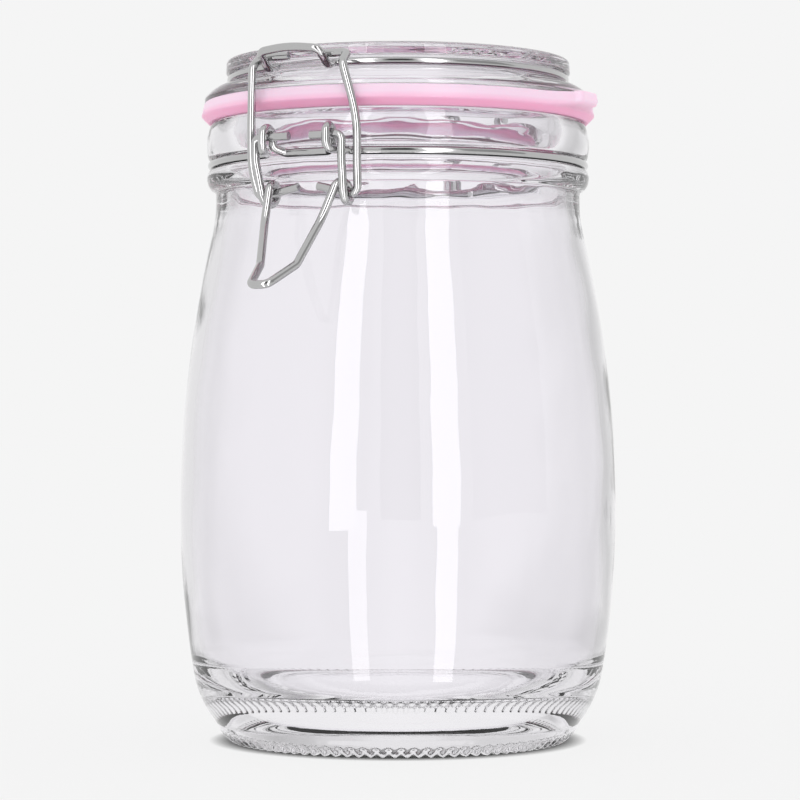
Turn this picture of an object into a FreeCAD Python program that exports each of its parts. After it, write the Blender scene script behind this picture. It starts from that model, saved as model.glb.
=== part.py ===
import FreeCAD, Part
import math
import operator
import os

import Sketcher
from FreeCAD import Vector

# A clip-top storage jar: a barrel-shaped glass jar, its glass lid, the soft sealing ring
# between them, and the bent steel wires of the closure.
#
# Frame: +Z is up and the origin is the middle of the foot, on the plane that the jar
# stands on. The closure is on the -Y side, the hinge on the +Y side, and the ring's
# pull tab points along +X. All sizes are in millimetres.

document = FreeCAD.newDocument("ClipTopJar")

SIZES = {
    # jar glass, from the foot up
    "foot_inner_radius": 38.4,
    "foot_outer_radius": 41.5,
    "underside_rise": 4.4,
    "heel_radius": 45.2,
    "heel_height": 4.6,
    "heel_curve": 26.0,
    "foot_curve": 8.0,
    "heel_top": 17.5,
    "heel_top_radius": 51.027,
    "belly_radius": 54.3,
    "belly_height": 57.0,
    "shoulder_drop": 29.4,
    "shoulder_flare": 1.3226,
    "neck_radius": 45.4,
    "neck_start_drop": 18.9,
    "neck_end_drop": 17.2,
    "bead_proud": 2.1,
    "bead_rise": 2.6,
    "bead_curve": 3.1,
    "neck_groove_margin": 0.25,
    "neck_groove_lip": 0.4,
    "collar_edge_proud": 1.8,
    "collar_edge_rise": 0.3,
    "collar_curve": 12.0,
    "collar_top_proud": 1.4,
    "rim_height": 153.4,
    "rim_edge": 0.8,
    "mouth_inset": 4.8,
    "mouth_depth": 8.0,
    "mouth_taper": 5.0,
    "neck_wall": 3.1,
    "belly_wall": 3.0,
    "floor_thickness": 5.4,
    "floor_radius": 31.0,
    "floor_dome": 1.6,
    "inner_heel_top": 22.0,
    "inner_heel_curve": 20.0,
    # sealing ring
    "seal_thickness": 5.0,
    "seal_inset": 0.2,
    "seal_foot_proud": 1.8,
    "seal_lip_proud": 3.6,
    "seal_lip_height": 1.8,
    "tab_inset": 4.2,
    "tab_length": 4.9,
    "tab_waist": 1.6,
    "tab_width": 10.4,
    "tab_waist_width": 13.0,
    "tab_root_width": 36.0,
    "tab_flare": 34.0,
    "tab_corner": 1.9,
    "tab_thickness": 2.9,
    "tab_top_drop": 3.2,
    "tab_lift_angle": 14.0,
    # lid glass
    "flange_proud": 2.8,
    "flange_edge": 1.1,
    "shoulder_curve": 8.6,
    "lid_groove_margin": 0.15,
    "groove_lip_proud": 1.1,
    "groove_lip_drop": 0.3,
    "disc_proud": 1.3,
    "disc_height": 10.6,
    "disc_edge": 1.0,
    "disc_lip": 0.5,
    "disc_rim": 5.9,
    "recess_depth": 0.8,
    "plug_clearance": 1.5,
    "plug_depth": 2.8,
    "plug_wall": 4.2,
    "plug_edge": 1.5,
    "plug_lip": 1.2,
    "lid_ceiling": 4.8,
    "lid_ceiling_dome": 1.6,
    "ceiling_corner": 3.0,
    "ceiling_corner_curve": 3.2,
    # wires
    "wire_thickness": 2.0,
    "groove_clearance": 0.1,
    "pivot_clearance": 0.1,
    "neck_ring_proud": 1.0,
    "neck_ring_drop": 10.5,
    "lid_ring_inset": 6.6,
    "lid_ring_height": 6.0,
    "ring_exit": 0.6,
    "lid_ring_exit": 0.4,
    "ring_exit_bend": 2.0,
    "ring_end_gap": 1.0,
    "ring_inset": 0.1,
    "stub_bend": 1.6,
    # ears of the neck wire
    "front_ear_side": 8.0,
    "front_ear_step": -0.4,
    "back_ear_gap": 0.4,
    "ear_twist": 0.5,
    "ear_exit_twist": 2.5,
    "ear_lead": 2.2,
    "ear_rise": 1.2,
    "ear_slant": 0.1,
    "ear_foot_bend": 1.4,
    "ear_side_bend": 1.1,
    "ear_exit_bend": 1.8,
    # lever
    "ear_gap": 0.5,
    "pivot_rise": 3.5,
    "lever_gap": 1.0,
    "lever_stub_end": 2.9,
    "lever_waist_drop": 5.5,
    "lever_waist_bend": 8.0,
    "lever_drop": 13.4,
    "eye_inset": 0.5,
    "eye_step": 1.0,
    "eye_play": 0.4,
    "eye_gap": 0.4,
    "eye_bend_slack": 0.05,
    "knee_side": 7.6,
    "knee_step": -0.6,
    "knee_out": 2.0,
    "knee_drop": 6.4,
    "knee_bend": 9.0,
    "handle_side": 4.8,
    "handle_step": 0.7,
    "handle_out": 11.4,
    "handle_drop": 17.5,
    "handle_bend": 3.2,
    "handle_tip_side": 2.2,
    "handle_tip_step": 0.6,
    "handle_tip_out": 20.4,
    "handle_tip_drop": 22.4,
    "handle_tip_bend": 2.0,
    # links
    "link_gap": 0.15,
    "link_stub_end": 2.6,
    "link_stub_step": 1.0,
    "link_stub_slope": 0.22,
    "link_foot_bend": 1.8,
    "link_arm_inset": 0.1,
    "link_arm_spread": 1.0,
    "link_arm_step": 0.05,
    "link_arm_start": 6.5,
    "link_arm_drop": 3.4,
    "link_arm_bend": 30.0,
    "link_lean_reach": 0.2,
    "link_lean_side": 0.3,
    "link_lean_drop": 2.6,
    "link_lean_bend": 2.6,
    "link_top_play": 1.7,
    "link_top_end": 4.1,
    "link_top_step": -2.05,
    "link_top_bend": 1.5,
    "link_rest_gap": 0.5,
    # arch of the lid wire
    "arch_side": 8.05,
    "arch_corner_side": 7.95,
    "arch_step": -3.65,
    "arch_foot_bend": 1.8,
    "trough_reach": 3.4,
    "trough_drop": 1.1,
    "trough_bend": 2.4,
    "arch_reach": 7.8,
    "arch_rise": 2.4,
    "arch_corner_bend": 1.8,
    "arch_crown": 0.9,
    "arch_crown_reach": 8.4,
    "arch_crown_bend": 30.0,
    # hinge
    "hinge_reach": 2.0,
    "hinge_rise": 3.7,
    "hinge_leg_side": 7.0,
    "hinge_knee_inset": 2.2,
    "hinge_knee_drop": 1.6,
    "hinge_knee_bend": 2.6,
    "hinge_pin_rest": 2.2,
}


def fill_sheet():
    """Put every driving size in a spreadsheet cell with its name as the alias."""
    cells = document.addObject("Spreadsheet::Sheet", "Sizes")
    for row, (name, value) in enumerate(SIZES.items(), start=1):
        cells.set(f"A{row}", name)
        cells.set(f"B{row}", str(value))
        cells.setAlias(f"B{row}", name)
    document.recompute()
    return cells


sheet = fill_sheet()


class Size:
    """A length together with the sheet expression that gives it."""

    def __init__(self, value, text):
        self.value = value
        self.text = text

    def joined(self, other, sign, result):
        if not isinstance(other, Size):
            other = Size(float(other), str(other))
        return Size(result(self.value, other.value), f"({self.text} {sign} {other.text})")

    def __add__(self, other):
        return self.joined(other, "+", operator.add)

    def __sub__(self, other):
        return self.joined(other, "-", operator.sub)

    def __mul__(self, other):
        return self.joined(other, "*", operator.mul)

    def __truediv__(self, other):
        return self.joined(other, "/", operator.truediv)

    def root(self):
        return Size(math.sqrt(self.value), f"sqrt({self.text})")


LINKED = {}


def size(name):
    """The named size, as a number with its sheet expression."""
    if name in LINKED:
        return LINKED[name]
    return Size(float(sheet.get(name)), f"Sizes.{name}")


def length(name):
    """The named size as a plain number."""
    return size(name).value


ZERO = Size(0.0, "0")
HALF_WIRE = size("wire_thickness") / 2


def link_sizes():
    """Work out the sizes that follow others, so that what fits together stays together.

    "side" is a distance from the middle plane of the closure, "out" is a distance from
    the jar's axis, and every clearance or step from one piece to the next is a named size.
    """
    neck, rim, wire = size("neck_radius"), size("rim_height"), size("wire_thickness")
    LINKED["shoulder_radius"] = neck + size("shoulder_flare")
    LINKED["bead_radius"] = neck + size("bead_proud")
    LINKED["collar_edge_radius"] = neck + size("collar_edge_proud")
    LINKED["collar_top_radius"] = neck + size("collar_top_proud")
    LINKED["neck_ring_radius"] = neck + size("neck_ring_proud")
    LINKED["mouth_radius"] = neck - size("mouth_inset")
    LINKED["seal_inner_radius"] = size("mouth_radius") + size("seal_inset")
    LINKED["seal_foot_radius"] = neck + size("seal_foot_proud")
    LINKED["seal_lip_radius"] = neck + size("seal_lip_proud")
    LINKED["plug_radius"] = size("mouth_radius") - size("plug_clearance")
    LINKED["flange_radius"] = neck + size("flange_proud")
    LINKED["lid_ring_radius"] = size("flange_radius") - size("lid_ring_inset")
    LINKED["groove_lip_radius"] = size("lid_ring_radius") + size("groove_lip_proud")
    LINKED["disc_radius"] = size("lid_ring_radius") + size("disc_proud")
    LINKED["recess_radius"] = size("disc_radius") - size("disc_rim")

    LINKED["shoulder_height"] = rim - size("shoulder_drop")
    LINKED["neck_start"] = rim - size("neck_start_drop")
    LINKED["neck_end"] = rim - size("neck_end_drop")
    LINKED["neck_ring_height"] = rim - size("neck_ring_drop")
    LINKED["pivot_height"] = size("neck_ring_height") + size("pivot_rise")
    LINKED["hinge_height"] = size("neck_ring_height") + size("hinge_rise")

    LINKED["neck_groove_depth"] = HALF_WIRE + size("neck_groove_margin")
    LINKED["lid_groove_depth"] = HALF_WIRE + size("lid_groove_margin")
    ear_inside = size("collar_edge_radius") + size("ear_gap")
    LINKED["pivot_out"] = ear_inside + HALF_WIRE + wire + size("pivot_clearance")
    LINKED["hinge_out"] = size("pivot_out") + size("hinge_reach")
    LINKED["hinge_knee_out"] = size("hinge_out") - size("hinge_knee_inset")
    LINKED["back_ear_side"] = size("hinge_leg_side") + wire + size("back_ear_gap")
    hinge_ear_end = size("back_ear_side") + size("ear_twist")
    LINKED["hinge_pin_end"] = hinge_ear_end + size("hinge_pin_rest")
    front_ear_end = size("front_ear_side") + size("ear_twist")
    LINKED["lever_side"] = front_ear_end + wire + size("lever_gap")
    LINKED["eye_radius"] = wire + size("eye_play")
    LINKED["eye_pitch"] = wire + size("eye_gap")
    LINKED["eye_bend"] = size("eye_radius") - size("eye_bend_slack")
    LINKED["eye_side"] = size("lever_side") - size("eye_inset")
    LINKED["link_side"] = size("eye_side") + wire + size("link_gap")
    LINKED["link_arm_side"] = size("link_side") + size("link_arm_spread")
    LINKED["link_arm_out"] = size("seal_lip_radius") - size("link_arm_inset")
    LINKED["link_lean_out"] = size("flange_radius") + size("link_lean_reach")
    LINKED["link_top_side"] = size("arch_side") + wire + size("link_top_play")
    LINKED["trough_out"] = size("lid_ring_radius") + size("trough_reach")
    LINKED["arch_out"] = size("lid_ring_radius") + size("arch_reach")
    LINKED["arch_crown_out"] = size("lid_ring_radius") + size("arch_crown_reach")


link_sizes()

# ---------------------------------------------------------------------------
# sketches and revolved bodies


def origin_feature(body, role):
    """The origin plane or axis of a body that has this role."""
    return next(item for item in body.Origin.OriginFeatures if item.Role == role)


def arc_between(start, end, radius, bulge):
    """A minor arc and whether it runs anticlockwise. bulge is 'left' or 'right' of the way."""
    chord = end - start
    middle = (start + end) * 0.5
    across = Vector(-chord.y, chord.x, 0).normalize()
    depth = math.sqrt(max(radius**2 - (chord.Length / 2) ** 2, 0))
    anticlockwise = bulge == "right"
    centre = middle + across * (depth if anticlockwise else -depth)
    first, last = (start, end) if anticlockwise else (end, start)
    first_angle = math.atan2(first.y - centre.y, first.x - centre.x)
    last_angle = math.atan2(last.y - centre.y, last.x - centre.x)
    if last_angle < first_angle:
        last_angle += 2 * math.pi
    circle = Part.Circle(centre, Vector(0, 0, 1), radius)
    return Part.ArcOfCircle(circle, first_angle, last_angle), anticlockwise


def draw_outline(sketch, corners):
    """Draw a closed outline whose corners and arc radii stay tied to the sheet.

    A corner is (across, up), or (across, up, radius, bulge) where an arc leads to it.
    """
    ends = []
    for index, corner in enumerate(corners):
        before = corners[index - 1]
        start = Vector(before[0].value, before[1].value, 0)
        end = Vector(corner[0].value, corner[1].value, 0)
        if len(corner) == 2:
            edge = sketch.addGeometry(Part.LineSegment(start, end))
            ends.append((edge, 1, 2))
            continue
        arc, anticlockwise = arc_between(start, end, corner[2].value, corner[3])
        edge = sketch.addGeometry(arc)
        ends.append((edge, 1, 2) if anticlockwise else (edge, 2, 1))
        named = sketch.addConstraint(Sketcher.Constraint("Radius", edge, corner[2].value))
        sketch.setExpression(f"Constraints[{named}]", corner[2].text)
    for index, corner in enumerate(corners):
        edge, _, tail = ends[index]
        following, head, _ = ends[(index + 1) % len(ends)]
        sketch.addConstraint(Sketcher.Constraint("Coincident", edge, tail, following, head))
        for axis, kind, place in ((-2, "DistanceX", corner[0]), (-1, "DistanceY", corner[1])):
            if place.text == ZERO.text:
                sketch.addConstraint(Sketcher.Constraint("PointOnObject", edge, tail, axis))
                continue
            rule = Sketcher.Constraint(kind, -1, 1, edge, tail, place.value)
            sketch.setExpression(f"Constraints[{sketch.addConstraint(rule)}]", place.text)


def revolved_body(label, corners):
    """A body turned about the jar's axis from a closed outline of (radius, height)."""
    body = document.addObject("PartDesign::Body", label)
    sketch = body.newObject("Sketcher::SketchObject", f"{label}_section")
    sketch.AttachmentSupport = [(origin_feature(body, "XZ_Plane"), "")]
    sketch.MapMode = "FlatFace"
    draw_outline(sketch, corners)
    document.recompute()
    turned = body.newObject("PartDesign::Revolution", f"{label}_turned")
    turned.Profile = sketch
    turned.ReferenceAxis = (sketch, ["V_Axis"])
    turned.Angle = 360
    document.recompute()
    return body


def dome_curve(radius, rise):
    """The radius of a shallow dome that rises this much over its edge."""
    return (radius * radius + rise * rise) / (rise * 2)


# ---------------------------------------------------------------------------
# jar glass


def barrel_curve(radius, height):
    """The radius of the arc from the belly's widest circle to a narrower one."""
    narrowing = size("belly_radius") - radius
    climb = height - size("belly_height")
    return (narrowing * narrowing + climb * climb) / (narrowing * 2)


def belly(height, curve, wall=None):
    """The radius of the belly curve at a height, on the outside or inside its wall."""
    reach = curve if wall is None else curve - wall
    rise = height - size("belly_height")
    return size("belly_radius") - curve + (reach * reach - rise * rise).root()


def groove(radius, height, bottom_radius):
    """Two quarter arcs that make a round groove for a wire, from below it to above it."""
    half_width = radius - bottom_radius
    return [
        (bottom_radius, height, half_width, "left"),
        (radius, height + half_width, half_width, "left"),
    ]


def make_jar_glass():
    """The jar: foot ring, barrel, neck, bead, wire groove, collar, mouth and thick floor."""
    wall, shoulder = size("belly_wall"), size("shoulder_radius")
    lower = barrel_curve(size("heel_top_radius"), size("heel_top"))
    upper = barrel_curve(shoulder, size("shoulder_height"))
    narrowing = shoulder - size("neck_radius")
    climb = size("neck_start") - size("shoulder_height")
    neck_curve = (narrowing * narrowing + climb * climb) / (narrowing * 2)
    ring_height = size("neck_ring_height")
    groove_bottom = size("neck_ring_radius") - HALF_WIRE - size("groove_clearance")
    groove_reach = size("neck_groove_depth")
    groove_mouth = groove_bottom + groove_reach
    groove_foot = ring_height - groove_reach
    inner_neck = size("neck_radius") - size("neck_wall")
    mouth_foot = size("rim_height") - size("mouth_depth")
    rim_top, rim_side = size("rim_height"), size("rim_height") - size("rim_edge")
    collar_top = size("collar_top_radius")
    floor_top = size("underside_rise") + size("floor_thickness")
    floor_edge = floor_top - size("floor_dome")
    floor_curve = dome_curve(size("floor_radius"), size("floor_dome"))
    underside_curve = dome_curve(
        size("foot_inner_radius"), size("underside_rise") - size("rim_edge")
    )
    corners = [
        (ZERO, size("underside_rise")),
        (size("foot_inner_radius"), size("rim_edge"), underside_curve, "left"),
        (size("foot_inner_radius") + size("rim_edge"), ZERO),
        (size("foot_outer_radius"), ZERO),
        (size("heel_radius"), size("heel_height"), size("foot_curve"), "right"),
        (size("heel_top_radius"), size("heel_top"), size("heel_curve"), "right"),
        (size("belly_radius"), size("belly_height"), lower, "right"),
        (shoulder, size("shoulder_height"), upper, "right"),
        (size("neck_radius"), size("neck_start"), neck_curve, "left"),
        (size("neck_radius"), size("neck_end")),
        (size("bead_radius"), size("neck_end") + size("bead_rise"), size("bead_curve"), "right"),
        (groove_mouth + size("neck_groove_lip"), groove_foot, size("bead_curve"), "right"),
        (groove_mouth, groove_foot),
        *groove(groove_mouth, ring_height, groove_bottom),
        (size("collar_edge_radius"), ring_height + groove_reach + size("collar_edge_rise")),
        (collar_top, rim_side, size("collar_curve"), "right"),
        (collar_top - size("rim_edge"), rim_top, size("rim_edge"), "right"),
        (size("mouth_radius") + size("rim_edge"), rim_top),
        (size("mouth_radius"), rim_side, size("rim_edge"), "right"),
        (size("mouth_radius"), mouth_foot),
        (inner_neck, mouth_foot - size("mouth_taper")),
        (inner_neck, size("neck_start")),
        (belly(size("shoulder_height"), upper, wall), size("shoulder_height")),
        (size("belly_radius") - wall, size("belly_height"), upper - wall, "left"),
        (belly(size("inner_heel_top"), lower, wall), size("inner_heel_top"), lower - wall, "left"),
        (size("floor_radius"), floor_edge, size("inner_heel_curve"), "left"),
        (ZERO, floor_top, floor_curve, "right"),
    ]
    return revolved_body("jar_glass", corners)


# ---------------------------------------------------------------------------
# sealing ring with its pull tab


def make_seal():
    """The soft ring on the jar's rim. Its outer face slopes out to a lip and turns under."""
    base = size("rim_height")
    top = base + size("seal_thickness")
    body = revolved_body(
        "gasket",
        [
            (size("seal_inner_radius"), base),
            (size("seal_foot_radius"), base),
            (size("seal_lip_radius"), base + size("seal_lip_height")),
            (size("flange_radius"), top),
            (size("seal_inner_radius"), top),
        ],
    )
    sketch = body.newObject("Sketcher::SketchObject", "tab_outline")
    sketch.AttachmentSupport = [(origin_feature(body, "XY_Plane"), "")]
    sketch.MapMode = "FlatFace"
    # the tab's plane leans up about a line under the edge of the lid's flange
    lean = FreeCAD.Rotation(Vector(0, -1, 0), length("tab_lift_angle"))
    sketch.AttachmentOffset = FreeCAD.Placement(Vector(0, 0, 0), lean)
    sketch.setExpression("AttachmentOffset.Base.x", size("flange_radius").text)
    sketch.setExpression("AttachmentOffset.Base.z", (top - size("tab_top_drop")).text)
    sketch.setExpression("AttachmentOffset.Rotation.Angle", "Sizes.tab_lift_angle")
    half_root, half_tip = size("tab_root_width") / 2, size("tab_width") / 2
    half_waist, waist = size("tab_waist_width") / 2, size("tab_waist")
    inside, outside = ZERO - size("tab_inset"), size("tab_length")
    turn, flare = size("tab_corner"), size("tab_flare")
    draw_outline(
        sketch,
        [
            (inside, ZERO - half_root),
            (waist, ZERO - half_waist, flare, "left"),
            (outside - turn, ZERO - half_tip),
            (outside, turn - half_tip, turn, "right"),
            (outside, half_tip - turn),
            (outside - turn, half_tip, turn, "right"),
            (waist, half_waist),
            (inside, half_root, flare, "left"),
        ],
    )
    document.recompute()
    tab = body.newObject("PartDesign::Pad", "tab")
    tab.Profile = sketch
    tab.setExpression("Length", "Sizes.tab_thickness")
    document.recompute()
    return body


# ---------------------------------------------------------------------------
# lid glass


def make_lid_glass():
    """The lid: plug, flange, rounded shoulder, wire groove and a disc with a sunk top."""
    base = size("rim_height") + size("seal_thickness")
    ring_height = base + size("lid_ring_height")
    groove_bottom = size("lid_ring_radius") - HALF_WIRE - size("groove_clearance")
    groove_reach = size("lid_groove_depth")
    groove_mouth = groove_bottom + groove_reach
    groove_foot, groove_top = ring_height - groove_reach, ring_height + groove_reach
    top = base + size("disc_height")
    disc, edge, lip = size("disc_radius"), size("disc_edge"), size("disc_lip")
    plug, plug_edge = size("plug_radius"), size("plug_edge")
    plug_bottom = size("rim_height") - size("plug_depth")
    cavity = plug - size("plug_wall")
    ceiling = top - size("recess_depth") - size("lid_ceiling")
    ceiling_edge = ceiling - size("lid_ceiling_dome")
    corner = size("ceiling_corner")
    ceiling_curve = dome_curve(cavity - corner, size("lid_ceiling_dome"))
    corners = [
        (ZERO, ceiling),
        (cavity - corner, ceiling_edge, ceiling_curve, "left"),
        (cavity, ceiling_edge - corner, size("ceiling_corner_curve"), "left"),
        (cavity, plug_bottom + size("plug_lip")),
        (cavity + size("plug_lip"), plug_bottom),
        (plug - plug_edge, plug_bottom),
        (plug, plug_bottom + plug_edge, plug_edge, "right"),
        (plug, base),
        (size("flange_radius"), base),
        (size("flange_radius"), base + size("flange_edge")),
        (
            size("groove_lip_radius"),
            groove_foot - size("groove_lip_drop"),
            size("shoulder_curve"),
            "right",
        ),
        (groove_mouth, groove_foot),
        *groove(groove_mouth, ring_height, groove_bottom),
        (disc - lip, groove_top),
        (disc, groove_top + lip, lip, "right"),
        (disc, top - edge),
        (disc - edge, top, edge, "right"),
        (size("recess_radius") + size("recess_depth"), top),
        (size("recess_radius"), top - size("recess_depth")),
        (ZERO, top - size("recess_depth")),
    ]
    return revolved_body("lid_glass", corners)


# ---------------------------------------------------------------------------
# bent wires


def cut_inside(before, corner, after, bend):
    """How far a bend passes inside its corner, as a vector."""
    arriving = (corner - before).normalize()
    leaving = (after - corner).normalize()
    half_turn = arriving.getAngle(leaving) / 2
    return (leaving - arriving).normalize() * (bend / math.cos(half_turn) - bend)


def bent_path(corners, bends):
    """A wire of straight runs joined by tangent arcs, one bend radius per inner corner."""
    edges = []
    start = corners[0]
    for before, corner, after, bend in zip(corners, corners[1:], corners[2:], bends):
        arriving = (corner - before).normalize()
        leaving = (after - corner).normalize()
        reach = bend * math.tan(arriving.getAngle(leaving) / 2)
        first = corner - arriving * reach
        last = corner + leaving * reach
        middle = corner + cut_inside(before, corner, after, bend)
        if (first - start).Length > 1e-5:
            edges.append(Part.LineSegment(start, first).toShape())
        edges.append(Part.Arc(first, middle, last).toShape())
        start = last
    edges.append(Part.LineSegment(start, corners[-1]).toShape())
    return Part.Wire(edges)


def bent_wire(label, corners, bends):
    """A round wire swept along straight runs and bends."""
    path = document.addObject("Part::Feature", f"{label}_path")
    path.Shape = bent_path(corners, bends)
    section = document.addObject("Part::Circle", f"{label}_section")
    section.setExpression("Radius", HALF_WIRE.text)
    along = FreeCAD.Rotation(Vector(0, 0, 1), corners[1] - corners[0])
    section.Placement = FreeCAD.Placement(corners[0], along)
    wire = document.addObject("Part::Sweep", label)
    wire.Sections = [section]
    wire.Spine = (path, [f"Edge{number + 1}" for number in range(len(path.Shape.Edges))])
    wire.Solid = True
    wire.Frenet = False
    document.recompute()
    expected = math.pi * HALF_WIRE.value**2 * path.Shape.Length
    print(f"{label}: volume {wire.Shape.Volume:.1f}, section x length {expected:.1f}")
    return wire


def front(side, out, height):
    """A point on the closure's side of the jar."""
    return Vector(side, -out, height)


def back(side, out, height):
    """A point on the hinge's side of the jar."""
    return Vector(side, out, height)


def mirrored(points):
    """The same points on the other side of the jar's middle plane."""
    return [Vector(-point.x, point.y, point.z) for point in points]


def ring_corners(radius, height, first_angle, last_angle):
    """Corners round which bends of the ring's own radius make an exact arc of it."""
    count = math.ceil(abs(last_angle - first_angle) / 50)
    step = (last_angle - first_angle) / count
    reach = radius / math.cos(math.radians(step / 2))
    points = []
    for number in range(count):
        angle = math.radians(first_angle + step * (number + 0.5))
        points.append(Vector(reach * math.cos(angle), reach * math.sin(angle), height))
    return points


def tangent_angle(point, radius, turn):
    """Where a straight run from a point outside a ring touches it, in degrees."""
    away = math.hypot(point.x, point.y)
    lead = math.degrees(math.acos(radius / away))
    return math.degrees(math.atan2(point.y, point.x)) + turn * lead


def ear(side_of_jar, side, pivot_out, pivot_height):
    """One ear of the neck wire: out of the groove, round a pivot pin, and back in.

    The corners run from the middle piece in the groove out to the ring.
    """
    hold = length("wire_thickness") + length("pivot_clearance")
    ring_radius, ring_height = length("neck_ring_radius"), length("neck_ring_height")
    inner, outer = pivot_out - hold, pivot_out + hold
    away = side + length("ear_twist")
    exit_side = away + length("ear_exit_twist")
    exit_radius = ring_radius + length("ring_exit")
    exit_out = math.sqrt(exit_radius**2 - exit_side**2)
    slant, top = length("ear_slant"), pivot_height + hold
    points = [
        side_of_jar(side - length("ear_lead"), ring_radius - length("ring_inset"), ring_height),
        side_of_jar(side, inner, ring_height + length("ear_rise")),
        side_of_jar(side + slant, inner, top),
        side_of_jar(away - slant, outer, top),
        side_of_jar(away, outer, ring_height),
        side_of_jar(exit_side, exit_out, ring_height),
    ]
    foot_bend, exit_bend = length("ear_foot_bend"), length("ear_exit_bend")
    return points, [foot_bend, length("ear_side_bend"), hold, hold, exit_bend, exit_bend]


def make_neck_wire():
    """The wire round the neck, with two ears for the lever and two for the hinge."""
    radius, height = length("neck_ring_radius"), length("neck_ring_height")
    hinge_ear, hinge_bends = ear(
        back, length("back_ear_side"), length("hinge_out"), length("hinge_height")
    )

    def side_half(turn):
        ear_side = length("front_ear_side") + length("front_ear_step") * turn
        lever_ear, lever_bends = ear(front, ear_side, length("pivot_out"), length("pivot_height"))
        arc = ring_corners(
            radius,
            height,
            tangent_angle(hinge_ear[-1], radius, -1),
            tangent_angle(lever_ear[-1], radius, 1),
        )
        bends = hinge_bends + [radius] * len(arc) + lever_bends[::-1]
        return hinge_ear + arc + lever_ear[::-1], bends

    right, right_bends = side_half(1)
    left, left_bends = side_half(-1)
    first = back(length("ring_end_gap") / 2, radius - length("ring_inset"), height)
    corners = [first, *right, *mirrored(left[::-1]), *mirrored([first])]
    return bent_wire("neck_wire", corners, right_bends + left_bends[::-1])


def lid_wire_height():
    """How high the wire round the lid lies."""
    return length("rim_height") + length("seal_thickness") + length("lid_ring_height")


def arch_leg(turn):
    """One leg of the arch: out of the groove, down into a trough, and up to its corner."""
    height = lid_wire_height()
    exit_radius = length("lid_ring_radius") + length("lid_ring_exit")
    step = length("arch_step") * turn
    foot, corner = length("arch_side") + step, length("arch_corner_side") + step
    return [
        front(foot, math.sqrt(exit_radius**2 - foot**2), height),
        front(foot, length("trough_out"), height - length("trough_drop")),
        front(corner, length("arch_out"), height + length("arch_rise")),
    ]


def make_lid_wire():
    """The wire round the lid: an arch in front, and two legs with hinge pins behind."""
    radius, height = length("lid_ring_radius"), lid_wire_height()
    exit_radius = radius + length("lid_ring_exit")
    leg_side = length("hinge_leg_side")
    hinge = [
        back(length("hinge_pin_end"), length("hinge_out"), length("hinge_height")),
        back(leg_side, length("hinge_out"), length("hinge_height")),
        back(leg_side, length("hinge_knee_out"), height - length("hinge_knee_drop")),
        back(leg_side, math.sqrt(exit_radius**2 - leg_side**2), height),
    ]
    hinge_bends = [length("stub_bend"), length("hinge_knee_bend"), length("ring_exit_bend")]
    arch_bends = [length("arch_foot_bend"), length("trough_bend"), length("arch_corner_bend")]

    def side_half(turn):
        arch = arch_leg(turn)
        arc = ring_corners(
            radius,
            height,
            tangent_angle(hinge[-1], radius, -1),
            tangent_angle(arch[0], radius, 1),
        )
        return hinge + arc + arch, hinge_bends + [radius] * len(arc) + arch_bends

    right, right_bends = side_half(1)
    left, left_bends = side_half(-1)
    crown_height = height + length("arch_rise") + length("arch_crown")
    crown = front(length("arch_step"), length("arch_crown_out"), crown_height)
    corners = right + [crown] + mirrored(left[::-1])
    bends = right_bends + [length("arch_crown_bend")] + left_bends[::-1]
    return bent_wire("lid_wire", corners, bends)


def lever_half(turn):
    """One side of the lever: its stub, its arm with an eye, and half of the handle."""
    out, height = length("pivot_out"), length("pivot_height")
    side = length("lever_side") + length("front_ear_step") * turn
    eye_side = length("eye_side") + length("eye_step") * turn
    eye, eye_height = length("eye_radius"), height - length("lever_drop")
    half = [
        front(length("lever_stub_end"), out, height),
        front(side, out, height),
        front(side, out, height - length("lever_waist_drop")),
    ]
    bends = [length("stub_bend"), length("lever_waist_bend")]
    inner = out - 2 * eye
    turns = [(out, -eye), (inner, -eye), (inner, eye), (out, eye)]
    for number, (place, rise) in enumerate(turns):
        shift = length("eye_pitch") * (number + 0.5) / len(turns)
        half.append(front(eye_side - shift, place, eye_height + rise))
        bends.append(length("eye_bend"))
    for name in ("knee", "handle", "handle_tip"):
        across = length(f"{name}_side") + length(f"{name}_step") * turn
        reach, drop = length(f"{name}_out"), length(f"{name}_drop")
        half.append(front(across, out + reach, eye_height - drop))
        bends.append(length(f"{name}_bend"))
    return half, bends


def make_lever():
    """The lever: two stubs in the ears, two arms, an eye on each, and the bent handle."""
    right, right_bends = lever_half(1)
    left, left_bends = lever_half(-1)
    return bent_wire("lever", right + mirrored(left[::-1]), right_bends + left_bends[::-1])


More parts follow.
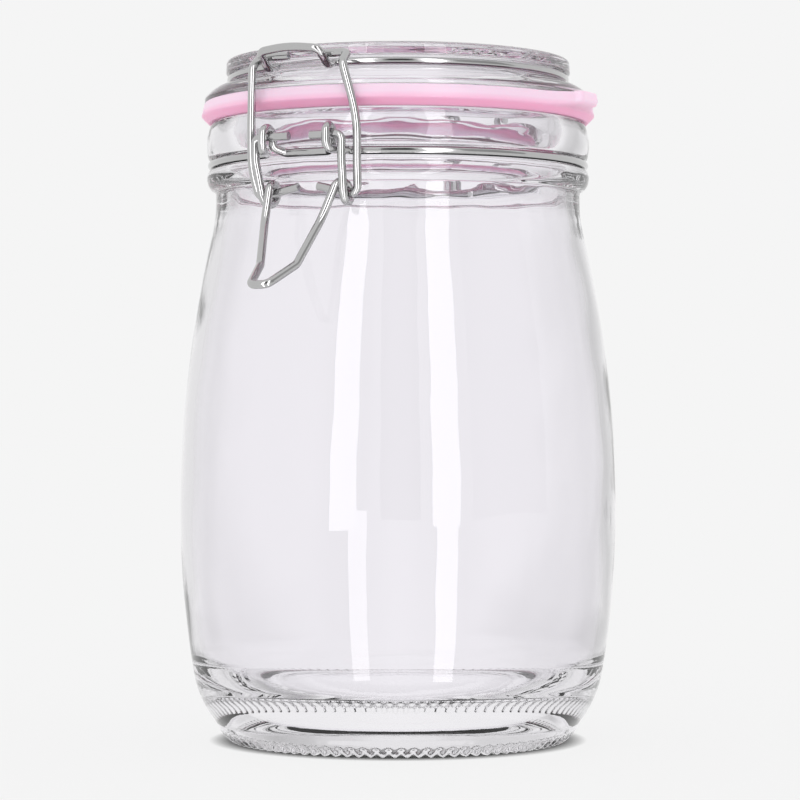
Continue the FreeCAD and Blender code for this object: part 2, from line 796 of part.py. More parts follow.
def make_link(label, turn):
    """One link: a stub in the lever's eye, an arm up past the lid, a stub on the arch leg."""
    eye_out = length("pivot_out") - length("eye_radius")
    eye_side = length("eye_side") + length("eye_step") * turn - length("eye_pitch") / 2
    eye_height = length("pivot_height") - length("lever_drop")
    slope = length("link_stub_slope")
    leg = arch_leg(turn)
    trough = leg[1] + cut_inside(*leg, length("trough_bend"))
    top = trough.z + length("wire_thickness") + length("link_rest_gap")
    side = length("link_side") + length("eye_step") * turn
    arm_side = length("link_arm_side") + length("link_arm_step") * turn
    arm_out, rim = length("link_arm_out"), length("rim_height")
    stub_end = length("link_stub_end") + length("link_stub_step") * turn
    top_side = length("link_top_side") + length("link_top_step") * turn
    top_end = length("link_top_end") + length("link_top_step") * turn
    corners = [
        front(stub_end, eye_out, eye_height + (eye_side - stub_end) * slope),
        front(side, eye_out, eye_height + (eye_side - side) * slope),
        front(arm_side, arm_out, eye_height + length("link_arm_start")),
        front(arm_side, arm_out, rim - length("link_arm_drop")),
        front(
            top_side + length("link_lean_side"),
            length("link_lean_out"),
            top - length("link_lean_drop"),
        ),
        front(top_side, length("trough_out"), top),
        front(top_end, length("trough_out"), top),
    ]
    if turn < 0:
        corners = mirrored(corners)
    bends = [
        length("link_foot_bend"),
        length("link_arm_bend"),
        length("link_arm_bend"),
        length("link_lean_bend"),
        length("link_top_bend"),
    ]
    return bent_wire(label, corners, bends)


# ---------------------------------------------------------------------------

PARTS = [
    make_jar_glass(),
    make_lid_glass(),
    make_seal(),
    make_neck_wire(),
    make_lid_wire(),
    make_lever(),
    make_link("link_right", 1),
    make_link("link_left", -1),
]

document.recompute()
for item in document.Objects:
    if {"Invalid", "Error"} & set(item.State):
        raise RuntimeError(f"{item.Name} failed: {item.State}")
for part in PARTS:
    if part.Shape.isNull() or not part.Shape.isValid() or len(part.Shape.Solids) != 1:
        raise RuntimeError(f"{part.Label} isn't one valid solid")

os.makedirs("parts", exist_ok=True)
for part in PARTS:
    part.Shape.exportStep(os.path.join("parts", f"{part.Label}.step"))
    box = part.Shape.BoundBox
    print(
        f"{part.Label}: {part.Shape.Volume / 1000:.2f} cm3,"
        f" x {box.XMin:.1f}..{box.XMax:.1f}, y {box.YMin:.1f}..{box.YMax:.1f},"
        f" z {box.ZMin:.1f}..{box.ZMax:.1f}"
    )
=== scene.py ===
import math

import bpy
import numpy as np
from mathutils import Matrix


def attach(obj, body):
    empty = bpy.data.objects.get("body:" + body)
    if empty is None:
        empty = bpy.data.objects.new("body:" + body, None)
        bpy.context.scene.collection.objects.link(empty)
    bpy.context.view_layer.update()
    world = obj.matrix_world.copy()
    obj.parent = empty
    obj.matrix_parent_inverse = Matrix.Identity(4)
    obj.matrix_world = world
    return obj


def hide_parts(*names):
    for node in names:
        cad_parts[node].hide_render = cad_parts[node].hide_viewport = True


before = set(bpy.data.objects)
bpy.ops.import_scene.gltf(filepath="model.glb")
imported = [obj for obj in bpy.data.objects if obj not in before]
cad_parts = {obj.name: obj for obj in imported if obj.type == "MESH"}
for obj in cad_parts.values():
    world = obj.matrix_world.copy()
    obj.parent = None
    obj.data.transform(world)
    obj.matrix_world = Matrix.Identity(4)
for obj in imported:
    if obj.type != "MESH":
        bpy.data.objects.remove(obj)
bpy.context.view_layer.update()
MM = 0.001

# ---------------------------------------------------------------------------
# sizes of the glass and the seal, in millimetres, as in the CAD part

BELLY_RADIUS, BELLY_HEIGHT = 54.3, 57.0
LOWER_CURVE, UPPER_CURVE = 240.0, 300.0
WALL = 3.0
NECK_RADIUS, NECK_WALL = 45.4, 3.1
SHOULDER_HEIGHT, NECK_START, NECK_END = 124.0, 134.5, 136.2
RING_HEIGHT, RIM_HEIGHT = 142.9, 153.4
SEAL_TOP, SEAL_INNER, SEAL_RADIUS = 158.4, 40.8, 48.2
LID_RING_HEIGHT = 164.4
LID_TOP = 169.0
RIBS = 90
RIB_DEPTH = 0.75

# how far the uneven skins lie inside the CAD faces, so that no wave leaves its box
SKIN_INSET, RIPPLE_INSET, LID_INSET = 0.05, 0.08, 0.07


def arc_points(start, end, radius, bulge, step):
    """Points along a minor arc, without its start. bulge is 'left' or 'right' of the way."""
    start, end = np.array(start, float), np.array(end, float)
    chord = end - start
    span = float(np.hypot(*chord))
    depth = math.sqrt(max(radius**2 - span**2 / 4, 0.0))
    across = np.array([-chord[1], chord[0]]) / span
    side = 1.0 if bulge == "right" else -1.0
    centre = (start + end) / 2 + across * depth * side
    first = math.atan2(*(start - centre)[::-1])
    turn = 2 * math.asin(min(span / (2 * radius), 1.0)) * side
    count = max(2, math.ceil(abs(turn) * radius / step))
    angles = first + turn * np.arange(1, count + 1) / count
    return [centre + radius * np.array([math.cos(a), math.sin(a)]) for a in angles]


def outline(corners, step=0.08):
    """A dense open outline through corners given as (r, z) or (r, z, radius, bulge)."""
    points = [np.array(corners[0][:2], float)]
    for corner in corners[1:]:
        start, end = points[-1], np.array(corner[:2], float)
        if len(corner) == 4:
            points += arc_points(start, end, corner[2], corner[3], step)
            continue
        count = max(1, math.ceil(float(np.hypot(*(end - start))) / step))
        points += [start + (end - start) * i / count for i in range(1, count + 1)]
    return np.array(points)


def even(points, count):
    """The same line with points at equal distances."""
    run = np.r_[0, np.cumsum(np.hypot(*np.diff(points, axis=0).T))]
    at = np.linspace(0, run[-1], count)
    return np.c_[np.interp(at, run, points[:, 0]), np.interp(at, run, points[:, 1])]


def softened(points, radius, step=0.08):
    """The line with its corners rounded to about this radius."""
    run = float(np.hypot(*np.diff(points, axis=0).T).sum())
    line = even(points, int(run / step))
    reach = int(3 * radius / step)
    weights = np.exp(-0.5 * (np.arange(-reach, reach + 1) * step / radius) ** 2)
    weights /= weights.sum()
    head = 2 * line[0] - line[reach:0:-1]
    tail = 2 * line[-1] - line[-2 : -reach - 2 : -1]
    padded = np.r_[head, line, tail]
    smooth = [np.convolve(padded[:, axis], weights, "valid") for axis in (0, 1)]
    result = np.array(smooth).T
    result[0], result[-1] = line[0], line[-1]
    return result


def thinned(points, count, straight=2.4, turn=0.16):
    """Rows where the line bends, and fewer of them where it runs straight."""
    steps = np.diff(points, axis=0)
    run = np.hypot(*steps.T)
    heading = np.unwrap(np.arctan2(steps[:, 1], steps[:, 0]))
    bend = np.abs(np.diff(heading, append=heading[-1]))
    cost = np.r_[0, np.cumsum(run / straight + bend / turn)]
    at = np.linspace(0, cost[-1], count)
    return np.c_[np.interp(at, cost, points[:, 0]), np.interp(at, cost, points[:, 1])]


def belly(height, curve, wall=0.0):
    """The belly's radius at a height, on the outside or inside its wall."""
    reach = curve - wall
    return BELLY_RADIUS - curve + math.sqrt(reach**2 - (height - BELLY_HEIGHT) ** 2)


def waves(angle, height, parts):
    """A smooth uneven value round and up the glass, from waves of (size, turns, rise, start)."""
    total = np.zeros(np.broadcast(angle, height).shape)
    for size, turns, rise, start in parts:
        total = total + size * np.cos(turns * angle + rise * height + start)
    return total


def window(value, low, high, soft):
    """1 between two limits, falling smoothly to 0 outside them."""
    up = np.clip((value - low) / soft + 0.5, 0, 1)
    down = np.clip((high - value) / soft + 0.5, 0, 1)
    both = np.minimum(up, down)
    return both * both * (3 - 2 * both)


def new_object(name, vertices, faces, smooth=True):
    """A mesh object from vertices in millimetres."""
    mesh = bpy.data.meshes.new(name)
    mesh.from_pydata((np.array(vertices) * MM).tolist(), [], faces)
    mesh.validate()
    mesh.polygons.foreach_set("use_smooth", [smooth] * len(mesh.polygons))
    mesh.update()
    piece = bpy.data.objects.new(name, mesh)
    bpy.context.collection.objects.link(piece)
    return piece


def turned(name, rings, closed_loop=False):
    """A solid from rings of points, bottom axis point to top axis point or a closed loop.

    Each ring is an array of points round the axis. Where a ring has twice or half as many
    points as the one before it, the band between them is made of five-cornered faces.
    """
    vertices = []
    starts = []
    for ring in rings:
        starts.append(len(vertices))
        vertices.extend(ring)
    faces = []
    pairs = list(zip(range(len(rings) - 1), range(1, len(rings))))
    if closed_loop:
        pairs.append((len(rings) - 1, 0))
    for low, high in pairs:
        a, b = starts[low], starts[high]
        n, m = len(rings[low]), len(rings[high])
        if n == 1:
            faces += [(a, b + (i + 1) % m, b + i) for i in range(m)]
        elif m == 1:
            faces += [(a + i, a + (i + 1) % n, b) for i in range(n)]
        elif n == m:
            for i in range(n):
                k = (i + 1) % n
                faces.append((a + i, a + k, b + k, b + i))
        elif m == 2 * n:
            for i in range(n):
                k = (i + 1) % n
                two = 2 * i
                faces.append((a + i, a + k, b + (two + 2) % m, b + two + 1, b + two))
        else:
            for i in range(m):
                k = (i + 1) % m
                two = 2 * i
                faces.append((a + two, a + two + 1, a + (two + 2) % n, b + k, b + i))
    return new_object(name, vertices, faces)


def rings_of(line, counts, shift):
    """Rings round the axis for each row of a line, moved along its normal by shift()."""
    heading = np.gradient(line, axis=0)
    heading /= np.maximum(np.hypot(*heading.T), 1e-9)[:, None]
    normal = np.c_[heading[:, 1], -heading[:, 0]]
    rings = []
    for row, (r, z) in enumerate(line):
        if r < 1e-6:
            rings.append([(0.0, 0.0, z)])
            continue
        angle = np.arange(counts[row]) * 2 * math.pi / counts[row]
        out = shift(row, angle, r, z)
        radius = r + normal[row, 0] * out
        height = z + normal[row, 1] * out
        x, y = radius * np.cos(angle), radius * np.sin(angle)
        rings.append(np.c_[x, y, height * np.ones_like(x)].tolist())
    return rings


# ---------------------------------------------------------------------------
# jar glass


def make_jar():
    shoulder = belly(SHOULDER_HEIGHT, UPPER_CURVE)
    inner_neck = NECK_RADIUS - NECK_WALL
    narrowing, climb = shoulder - NECK_RADIUS, NECK_START - SHOULDER_HEIGHT
    neck_curve = (narrowing**2 + climb**2) / (2 * narrowing)
    outside = outline(
        [
            (0, 4.4),
            (38.4, 0.8, (38.4**2 + 3.6**2) / 7.2, "left"),
            (39.2, 0.0),
            (41.5, 0.0),
            (45.2, 4.6, 8.0, "right"),
            (belly(17.5, LOWER_CURVE), 17.5, 26.0, "right"),
            (BELLY_RADIUS, BELLY_HEIGHT, LOWER_CURVE, "right"),
            (shoulder, SHOULDER_HEIGHT, UPPER_CURVE, "right"),
            (NECK_RADIUS, NECK_START, neck_curve, "left"),
            (NECK_RADIUS, NECK_END),
            (47.5, 138.8, 3.1, "right"),
            (46.95, 141.65, 3.1, "right"),
            (46.55, 141.65),
            (45.3, RING_HEIGHT, 1.25, "left"),
            (46.55, 144.15, 1.25, "left"),
            (47.2, 144.45),
            (46.8, 152.6, 12.0, "right"),
            (46.0, RIM_HEIGHT, 0.8, "right"),
            (41.4, RIM_HEIGHT),
        ]
    )
    inside = outline(
        [
            (41.4, RIM_HEIGHT),
            (40.6, 152.6, 0.8, "right"),
            (40.6, 145.4),
            (inner_neck, 140.4),
            (inner_neck, NECK_START),
            (belly(SHOULDER_HEIGHT, UPPER_CURVE, WALL), SHOULDER_HEIGHT),
            (BELLY_RADIUS - WALL, BELLY_HEIGHT, UPPER_CURVE - WALL, "left"),
            (belly(22.0, LOWER_CURVE, WALL), 22.0, LOWER_CURVE - WALL, "left"),
            (31.0, 8.2, 20.0, "left"),
            (0, 9.8, (31.0**2 + 1.6**2) / 3.2, "right"),
        ]
    )
    dense = softened(np.r_[outside, inside[1:]], 0.28)
    turn = int(np.argmax(dense[:, 1] > RIM_HEIGHT - 0.02))
    outer = thinned(dense[: turn + 1], 150)
    inner = thinned(dense[turn:], 96)
    line = np.r_[outer, inner[1:]]
    outer_rows = len(outer)
    fine = (line[:, 0] > 37.6) & (line[:, 1] < 5.2) & (np.arange(len(line)) < outer_rows)
    counts = np.where(fine, 8 * RIBS, 4 * RIBS)

    skin = [(0.020, 3, 0.11, 0.4), (0.016, 5, -0.19, 2.1), (0.012, 9, 0.31, 4.0)]
    inner_skin = [
        (0.06, 2, 0.045, 0.7),
        (0.04, 4, -0.09, 2.9),
        (0.025, 7, 0.16, 1.3),
        (0.012, 13, -0.27, 5.1),
    ]
    ripple = [
        (0.030, 11, 0.9, 0.3),
        (0.026, 17, -1.3, 1.9),
        (0.020, 29, 2.1, 4.4),
        (0.014, 47, -3.1, 2.2),
    ]
    neck_ripple = [(0.014, 6, 1.4, 1.0), (0.010, 15, -2.3, 3.0), (0.006, 31, 3.7, 0.2)]

    def shift(row, angle, r, z):
        if row >= outer_rows:
            body = window(z, 20.0, 150.0, 12.0)
            low = window(r, 8.0, 60.0, 12.0)
            out = waves(angle, z, inner_skin) * body * low
            out = out + waves(angle, z, neck_ripple) * window(z, 133.0, 151.0, 5.0)
            return out
        out = (waves(angle, z, skin) - SKIN_INSET) * window(z, 8.0, 134.0, 8.0)
        collar = window(z, 146.0, 152.0, 2.5) + window(z, 126.0, 137.0, 4.0) * 0.6
        out = out + (waves(angle, z, ripple) - RIPPLE_INSET) * collar
        if fine[row]:
            rib = 0.5 + 0.5 * np.cos(RIBS * angle)
            hollow = (1 - rib) ** 0.8
            reach = window(r, 38.7, 43.9, 1.0) * window(z, -1.0, 2.6, 1.4)
            out = out - RIB_DEPTH * hollow * reach
        return out

    return turned("jar_glass_body", rings_of(line, counts, shift))


# ---------------------------------------------------------------------------
# lid glass


def make_lid():
    edge_curve = (31.9**2 + 1.6**2) / 3.2
    line = outline(
        [
            (0, 163.4),
            (31.9, 161.8, edge_curve, "left"),
            (34.9, 158.8, 3.2, "left"),
            (34.9, 151.8),
            (36.1, 150.6),
            (37.6, 150.6),
            (39.1, 152.1, 1.5, "right"),
            (39.1, SEAL_TOP),
            (SEAL_RADIUS, SEAL_TOP),
            (SEAL_RADIUS, 159.5),
            (42.7, 162.95, 8.6, "right"),
            (41.65, 163.25),
            (40.5, LID_RING_HEIGHT, 1.15, "left"),
            (41.65, 165.55, 1.15, "left"),
            (42.4, 165.55),
            (42.9, 166.05, 0.5, "right"),
            (42.9, 168.0),
            (41.9, LID_TOP, 1.0, "right"),
            (37.8, LID_TOP),
            (37.0, 168.2),
            (0, 168.2),
        ]
    )
    line = thinned(softened(line, 0.2), 200)
    skin = [(0.03, 3, 0.5, 0.4), (0.02, 7, -0.9, 2.1), (0.01, 16, 1.3, 4.0), (0.004, 29, 2.0, 1.1)]

    def shift(row, angle, r, z):
        out = waves(angle, z, skin) - LID_INSET
        top = window(z, 166.6, 168.4, 0.8) + window(z, 159.8, 163.0, 0.8)
        face = window(r, 6.0, 36.0, 8.0)
        return out * np.maximum(top, 0.8 * face)

    return turned("lid_glass_body", rings_of(line, [360] * len(line), shift))


# ---------------------------------------------------------------------------
# sealing ring with its pull tab


def make_seal():
    """One closed skin: the ring's outer face draws out to the tab about the +X side."""
    count = 720
    angle = np.arange(count) * 2 * math.pi / count
    around = (angle + math.pi) % (2 * math.pi) - math.pi
    sideways = np.abs(around) * SEAL_RADIUS
    half_tip, half_root, reach = 5.0, 17.0, 4.0
    tip = np.clip((half_tip - sideways) / 1.3, 0, 1) ** 0.5
    flare = np.clip((half_root - sideways) / (half_root - half_tip), 0, 1) ** 2.2
    shoulder = 2.4
    pull = np.where(sideways < half_tip, shoulder + (reach - shoulder) * tip, shoulder * flare)
    lift = math.tan(math.radians(10.0))
    loop = [
        (SEAL_INNER, RIM_HEIGHT),
        (44.0, RIM_HEIGHT),
        (47.2, RIM_HEIGHT),
        (49.0, 155.2),
        (48.6, 156.8),
        (SEAL_RADIUS, SEAL_TOP),
        (44.0, SEAL_TOP),
        (SEAL_INNER, SEAL_TOP),
    ]
    dense = softened(outline(loop + [loop[0]], 0.05), 0.22, 0.05)
    line = thinned(dense, 61, straight=1.2, turn=0.2)[:-1]
    rings = []
    for r, z in line:
        outer = np.clip((r - 44.5) / 3.7, 0, 1) ** 1.5
        high = np.clip((z - 154.9) / 0.9, 0, 1)
        share = outer * high
        away = r + pull * share
        rise = lift * pull * share * (0.55 + 0.45 * (z - 155.0) / 3.4)
        height = z + rise
        rings.append(np.c_[away * np.cos(angle), away * np.sin(angle), height].tolist())
    return turned("sealing_ring", rings, closed_loop=True)


# ---------------------------------------------------------------------------
# materials


def material(name):
    made = bpy.data.materials.new(name)
    made.use_nodes = True
    tree = made.node_tree
    return made, tree, tree.nodes["Principled BSDF"]


def noise_bump(tree, shader, scale, strength, distance, stretch=(1, 1, 1)):
    """Fine unevenness from a noise in object space."""
    place = tree.nodes.new("ShaderNodeTexCoord")
    spread = tree.nodes.new("ShaderNodeMapping")
    spread.inputs["Scale"].default_value = stretch
    noise = tree.nodes.new("ShaderNodeTexNoise")
    noise.inputs["Scale"].default_value = scale
    noise.inputs["Detail"].default_value = 2.0
    bump = tree.nodes.new("ShaderNodeBump")
    bump.inputs["Strength"].default_value = strength
    bump.inputs["Distance"].default_value = distance
    tree.links.new(place.outputs["Object"], spread.inputs["Vector"])
    tree.links.new(spread.outputs["Vector"], noise.inputs["Vector"])
    tree.links.new(noise.outputs["Fac"], bump.inputs["Height"])
    tree.links.new(bump.outputs["Normal"], shader.inputs["Normal"])
    return noise


def glass_material(name, density):
    made, tree, shader = material(name)
    shader.inputs["Base Color"].default_value = (0.976, 0.964, 0.990, 1.0)
    shader.inputs["Roughness"].default_value = 0.0
    shader.inputs["IOR"].default_value = 1.5
    shader.inputs["Transmission Weight"].default_value = 1.0
    noise_bump(tree, shader, 120.0, 0.05, 0.0005, (1, 1, 0.35))
    body = tree.nodes.new("ShaderNodeVolumeAbsorption")
    body.inputs["Color"].default_value = (0.5, 0.5, 0.5, 1.0)
    body.inputs["Density"].default_value = density
    output = tree.nodes["Material Output"]
    tree.links.new(body.outputs["Volume"], output.inputs["Volume"])
    return made


def seal_material():
    made, tree, shader = material("soft_seal")
    place = tree.nodes.new("ShaderNodeTexCoord")
    split = tree.nodes.new("ShaderNodeSeparateXYZ")
    # Painted sheen: the seal's own colour is the stronger pink low down; from 154.6 to 156.6 mm up it
    # turns a lighter pink, painted for light falling on its upper bevel.
    level = tree.nodes.new("ShaderNodeMapRange")
    level.inputs["From Min"].default_value = 0.1546
    level.inputs["From Max"].default_value = 0.1566
    ramp = tree.nodes.new("ShaderNodeValToRGB")
    ramp.color_ramp.elements[0].color = (1.0, 0.44, 0.66, 1)
    ramp.color_ramp.elements[1].color = (1.0, 0.72, 0.88, 1)
    tree.links.new(place.outputs["Object"], split.inputs["Vector"])
    tree.links.new(split.outputs["Z"], level.inputs["Value"])
    tree.links.new(level.outputs["Result"], ramp.inputs["Fac"])
    tree.links.new(ramp.outputs["Color"], shader.inputs["Base Color"])
    shader.inputs["Roughness"].default_value = 0.42
    shader.inputs["Subsurface Weight"].default_value = 0.25
    shader.inputs["Subsurface Radius"].default_value = (0.002, 0.001, 0.0012)
    shader.inputs["Subsurface Scale"].default_value = 1.0
    noise_bump(tree, shader, 900.0, 0.08, 0.0002)
    return made


def wire_material():
    made, tree, shader = material("bright_wire")
    shader.inputs["Metallic"].default_value = 1.0
    shader.inputs["Base Color"].default_value = (0.50, 0.50, 0.50, 1.0)
    noise = noise_bump(tree, shader, 260.0, 0.05, 0.0002)
    rough = tree.nodes.new("ShaderNodeMapRange")
    rough.inputs["To Min"].default_value = 0.08
    rough.inputs["To Max"].default_value = 0.20
    tree.links.new(noise.outputs["Fac"], rough.inputs["Value"])
    tree.links.new(rough.outputs["Result"], shader.inputs["Roughness"])
    return made


glass = glass_material("clear_glass", 3.0)
lid_glass = glass_material("clear_lid_glass", 2.0)
seal_look = seal_material()
wire_look = wire_material()

jar = make_jar()
jar.data.materials.append(glass)
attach(jar, "jar")
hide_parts("jar_glass")

lid = make_lid()
lid.data.materials.append(lid_glass)
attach(lid, "lid")
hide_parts("lid_glass")
# light passes the lid without a shadow, so that the seal under it is lit
lid.visible_shadow = False

seal = make_seal()
seal.data.materials.append(seal_look)
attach(seal, "lid")
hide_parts("gasket")

for node in ("neck_wire", "lid_wire", "lever", "link_right", "link_left"):
    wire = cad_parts[node]
    for slot in wire.material_slots:
        slot.material = wire_look

# ---------------------------------------------------------------------------
# studio

PALE = 0.913
CONTACT_REACH = 0.004
CLOTH_SHARE = 0.08
SHADE_START = 0.3

CAMERA_AZIMUTH = 27.0
CAMERA_DISTANCE = 720.0
CAMERA_HEIGHT = 80.2
LENS = 129.6
SENSOR = 36.0
SHIFT = (0.0025, 0.0225)

CARD_LOW, CARD_HIGH = -300.0, 1900.0
CARD_DISTANCE, STRIP_DISTANCE = 1500.0, 1100.0
STRIP_LOW, STRIP_HIGH = -200.0, 1500.0
STRIP_LEAN = 6.0
MIRROR_TURN = 2.08


def emitter(name, colour, strength):
    made = bpy.data.materials.new(name)
    made.use_nodes = True
    tree = made.node_tree
    tree.nodes.clear()
    light = tree.nodes.new("ShaderNodeEmission")
    light.inputs["Color"].default_value = (*colour, 1.0)
    light.inputs["Strength"].default_value = strength
    output = tree.nodes.new("ShaderNodeOutputMaterial")
    tree.links.new(light.outputs["Emission"], output.inputs["Surface"])
    return made


def only_reflected(piece):
    """A card that shows in reflections and lights nothing."""
    piece.visible_camera = False
    piece.visible_diffuse = False
    piece.visible_transmission = False
    piece.visible_shadow = False
    piece.visible_volume_scatter = False


def card(name, azimuth, distance, width, low, high, look, lean=0.0):
    """An upright curved card round the jar's axis, seen only in reflections."""
    steps = 12
    vertices, faces = [], []
    for level, height in enumerate((low, high)):
        middle = azimuth + lean * (0.5 if level else -0.5)
        for i in range(steps + 1):
            a = math.radians(middle - width / 2 + width * i / steps)
            vertices.append((distance * math.sin(a), -distance * math.cos(a), height))
    for i in range(steps):
        faces.append((i, i + 1, steps + 2 + i, steps + 1 + i))
    piece = new_object(name, np.array(vertices), faces)
    piece.data.materials.append(look)
    only_reflected(piece)
    return piece


dark = emitter("dark_card", (0.05, 0.05, 0.05), 1.0)
shade = emitter("shade_card", (0.45, 0.45, 0.45), 1.0)
bright = emitter("bright_strip", (1.0, 0.98, 1.0), 4.7)
faint = emitter("faint_strip", (1.0, 0.98, 1.0), 4.2)
card("dark_front", CAMERA_AZIMUTH + 1, CARD_DISTANCE, 20.0, CARD_LOW, CARD_HIGH, dark)
card("shade_right", CAMERA_AZIMUTH + 60, CARD_DISTANCE, 44.0, CARD_LOW, CARD_HIGH, shade)
card("strip_left", CAMERA_AZIMUTH - 25.6, STRIP_DISTANCE, 13.5, STRIP_LOW, STRIP_HIGH, bright, STRIP_LEAN)
card("strip_right", CAMERA_AZIMUTH + 24.2, STRIP_DISTANCE, 14.3, STRIP_LOW, STRIP_HIGH, bright)


def floor_strip(name, first, last, look):
    """The strip's light on the floor, along the ways that the belly mirrors towards it."""
    vertices = []
    for reach in (40.0, 200.0, 600.0, 2400.0):
        for offset in (first, last):
            wall = math.radians(CAMERA_AZIMUTH + offset)
            way = math.radians(CAMERA_AZIMUTH + MIRROR_TURN * offset)
            x = BELLY_RADIUS * math.sin(wall) + reach * math.sin(way)
            y = -BELLY_RADIUS * math.cos(wall) - reach * math.cos(way)
            vertices.append((x, y, 0.5))
    faces = [(i, i + 1, i + 3, i + 2) for i in (0, 2, 4)]
    piece = new_object(name, np.array(vertices), faces)
    piece.data.materials.append(look)
    only_reflected(piece)


floor_strip("floor_strip_left", -12.4, -7.8, faint)
floor_strip("floor_strip_right", 9.6, 15.0, bright)


def set_stops(ramp, stops):
    """Greys of (position, value) in a ramp that starts with two stops."""
    ramp.color_ramp.interpolation = "EASE"
    for number, (position, value) in enumerate(stops):
        if number < 2:
            stop = ramp.color_ramp.elements[number]
            stop.position = position
        else:
            stop = ramp.color_ramp.elements.new(position)
        stop.color = (value, value, value, 1)


def room(tree, place, near):
    """How bright the studio is in a direction: pale behind the jar and greyer to its sides.

    Closer to the middle than near, in metres, it gets as pale as it is behind the jar.
    """
    turn = math.radians(CAMERA_AZIMUTH)
    reach = tree.nodes.new("ShaderNodeVectorMath")
    reach.operation = "LENGTH"
    least = tree.nodes.new("ShaderNodeMath")
    least.operation = "MAXIMUM"
    least.inputs[1].default_value = near
    across = tree.nodes.new("ShaderNodeVectorMath")
    across.operation = "DOT_PRODUCT"
    across.inputs[1].default_value = (math.cos(turn), math.sin(turn), 0)
    share = tree.nodes.new("ShaderNodeMapRange")
    share.inputs["From Min"].default_value = -1.0
    ramp = tree.nodes.new("ShaderNodeValToRGB")
    stops = [
        (-0.80, 1.0), (-0.62, 0.82), (-0.36, 0.82), (-0.22, 0.88), (-0.10, 0.98), (0.0, 1.0),
        (0.08, 0.99), (0.16, 0.88), (0.24, 0.84), (0.36, 0.68), (0.50, 0.58), (0.62, 0.70),
        (0.80, 1.0),
    ]
    set_stops(ramp, [(0.5 + side / 2, value * PALE) for side, value in stops])
    ratio = tree.nodes.new("ShaderNodeMath")
    ratio.operation = "DIVIDE"
    tree.links.new(place, reach.inputs[0])
    tree.links.new(reach.outputs["Value"], least.inputs[0])
    tree.links.new(place, across.inputs[0])
    tree.links.new(across.outputs["Value"], ratio.inputs[0])
    tree.links.new(least.outputs[0], ratio.inputs[1])
    tree.links.new(ratio.outputs[0], share.inputs["Value"])
    tree.links.new(share.outputs["Result"], ramp.inputs["Fac"])
    return ramp.outputs["Color"]


def make_floor():
    """A pale floor. To the camera it darkens only close to what stands on it: a contact shadow painted
    into its glow by an Ambient Occlusion node, plus the real shade on a small diffuse share.
    """
    reach = 6000.0
    corners = [(-reach, -reach, 0), (reach, -reach, 0), (reach, reach, 0), (-reach, reach, 0)]
    floor = new_object("floor", np.array(corners, float), [(0, 1, 2, 3)], smooth=False)
    made = bpy.data.materials.new("pale_floor")
    made.use_nodes = True
    tree = made.node_tree
    tree.nodes.clear()
    # Painted contact shadow: the glow seen by the camera is darkened by ambient occlusion within
    # CONTACT_REACH of what stands on the floor.
    contact = tree.nodes.new("ShaderNodeAmbientOcclusion")
    contact.inputs["Distance"].default_value = CONTACT_REACH
    contact.inputs["Color"].default_value = (PALE, PALE, PALE, 1)
    contact.samples = 8
    glow_with_painted_shadow = tree.nodes.new("ShaderNodeEmission")
    cloth = tree.nodes.new("ShaderNodeBsdfDiffuse")
    cloth.inputs["Color"].default_value = (PALE, PALE, PALE, 1)
    seen = tree.nodes.new("ShaderNodeMixShader")
    seen.inputs["Fac"].default_value = CLOTH_SHARE
    place = tree.nodes.new("ShaderNodeTexCoord")
    even = tree.nodes.new("ShaderNodeEmission")
    path = tree.nodes.new("ShaderNodeLightPath")
    through = tree.nodes.new("ShaderNodeEmission")
    other = tree.nodes.new("ShaderNodeMixShader")
    mix = tree.nodes.new("ShaderNodeMixShader")
    output = tree.nodes.new("ShaderNodeOutputMaterial")
    even.inputs["Color"].default_value = (PALE, PALE, PALE, 1)
    tree.links.new(contact.outputs["Color"], glow_with_painted_shadow.inputs["Color"])
    tree.links.new(glow_with_painted_shadow.outputs[0], seen.inputs[1])
    tree.links.new(cloth.outputs[0], seen.inputs[2])
    tree.links.new(room(tree, place.outputs["Object"], SHADE_START), through.inputs["Color"])
    tree.links.new(path.outputs["Is Transmission Ray"], other.inputs["Fac"])
    tree.links.new(even.outputs[0], other.inputs[1])
    tree.links.new(through.outputs[0], other.inputs[2])
    tree.links.new(path.outputs["Is Camera Ray"], mix.inputs["Fac"])
    tree.links.new(other.outputs[0], mix.inputs[1])
    tree.links.new(seen.outputs[0], mix.inputs[2])
    tree.links.new(mix.outputs[0], output.inputs["Surface"])
    floor.data.materials.append(made)


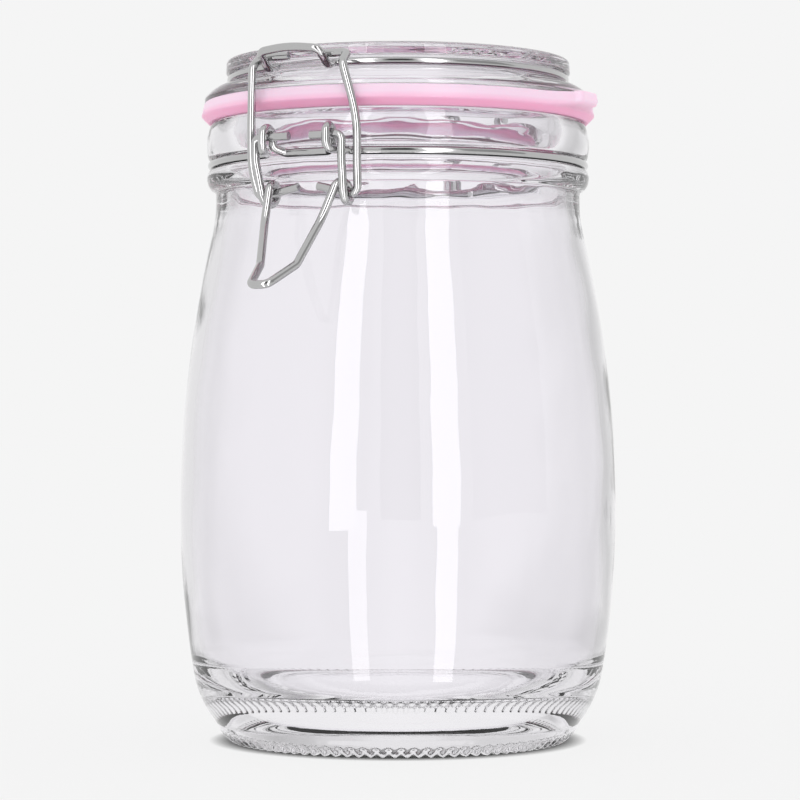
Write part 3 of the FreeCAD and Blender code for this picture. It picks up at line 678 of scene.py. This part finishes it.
def make_world():
    """Soft even light of 1 from all round, seen pale, and shaded to the sides through glass."""
    world = bpy.data.worlds.new("studio")
    bpy.context.scene.world = world
    world.use_nodes = True
    tree = world.node_tree
    tree.nodes.clear()
    path = tree.nodes.new("ShaderNodeLightPath")
    place = tree.nodes.new("ShaderNodeTexCoord")
    seen = tree.nodes.new("ShaderNodeMath")
    seen.operation = "MAXIMUM"
    even_light = tree.nodes.new("ShaderNodeBackground")
    even_light.inputs["Color"].default_value = (1, 1, 1, 1)
    pale = tree.nodes.new("ShaderNodeBackground")
    pale.inputs["Color"].default_value = (PALE, PALE, PALE, 1)
    shaded = tree.nodes.new("ShaderNodeBackground")
    height = tree.nodes.new("ShaderNodeSeparateXYZ")
    above = tree.nodes.new("ShaderNodeValToRGB")
    set_stops(above, [(0.16, 1.0), (0.45, 1.05), (0.75, 1.05), (1.0, 1.05)])
    both = tree.nodes.new("ShaderNodeVectorMath")
    both.operation = "MULTIPLY"
    mirrored = tree.nodes.new("ShaderNodeMixShader")
    mix = tree.nodes.new("ShaderNodeMixShader")
    output = tree.nodes.new("ShaderNodeOutputWorld")
    tree.links.new(place.outputs["Generated"], height.inputs["Vector"])
    tree.links.new(height.outputs["Z"], above.inputs["Fac"])
    tree.links.new(room(tree, place.outputs["Generated"], 1.0), both.inputs[0])
    tree.links.new(above.outputs["Color"], both.inputs[1])
    tree.links.new(both.outputs[0], shaded.inputs["Color"])
    tree.links.new(path.outputs["Is Camera Ray"], seen.inputs[0])
    tree.links.new(path.outputs["Is Glossy Ray"], seen.inputs[1])
    tree.links.new(seen.outputs[0], mirrored.inputs["Fac"])
    tree.links.new(even_light.outputs[0], mirrored.inputs[1])
    tree.links.new(pale.outputs[0], mirrored.inputs[2])
    tree.links.new(path.outputs["Is Transmission Ray"], mix.inputs["Fac"])
    tree.links.new(mirrored.outputs[0], mix.inputs[1])
    tree.links.new(shaded.outputs[0], mix.inputs[2])
    tree.links.new(mix.outputs[0], output.inputs["Surface"])


def make_camera():
    lens = bpy.data.cameras.new("camera")
    camera = bpy.data.objects.new("camera", lens)
    bpy.context.collection.objects.link(camera)
    turn = math.radians(CAMERA_AZIMUTH)
    distance = CAMERA_DISTANCE * MM
    camera.location = (distance * math.sin(turn), -distance * math.cos(turn), CAMERA_HEIGHT * MM)
    camera.rotation_euler = (math.radians(90), 0, turn)
    lens.sensor_width = SENSOR
    lens.lens = LENS
    lens.shift_x, lens.shift_y = SHIFT
    lens.clip_start = 0.01
    bpy.context.scene.camera = camera


make_floor()
make_world()
make_camera()

scene = bpy.context.scene
scene.view_settings.view_transform = "Standard"
scene.cycles.max_bounces = 24
scene.cycles.transmission_bounces = 20
scene.cycles.glossy_bounces = 8
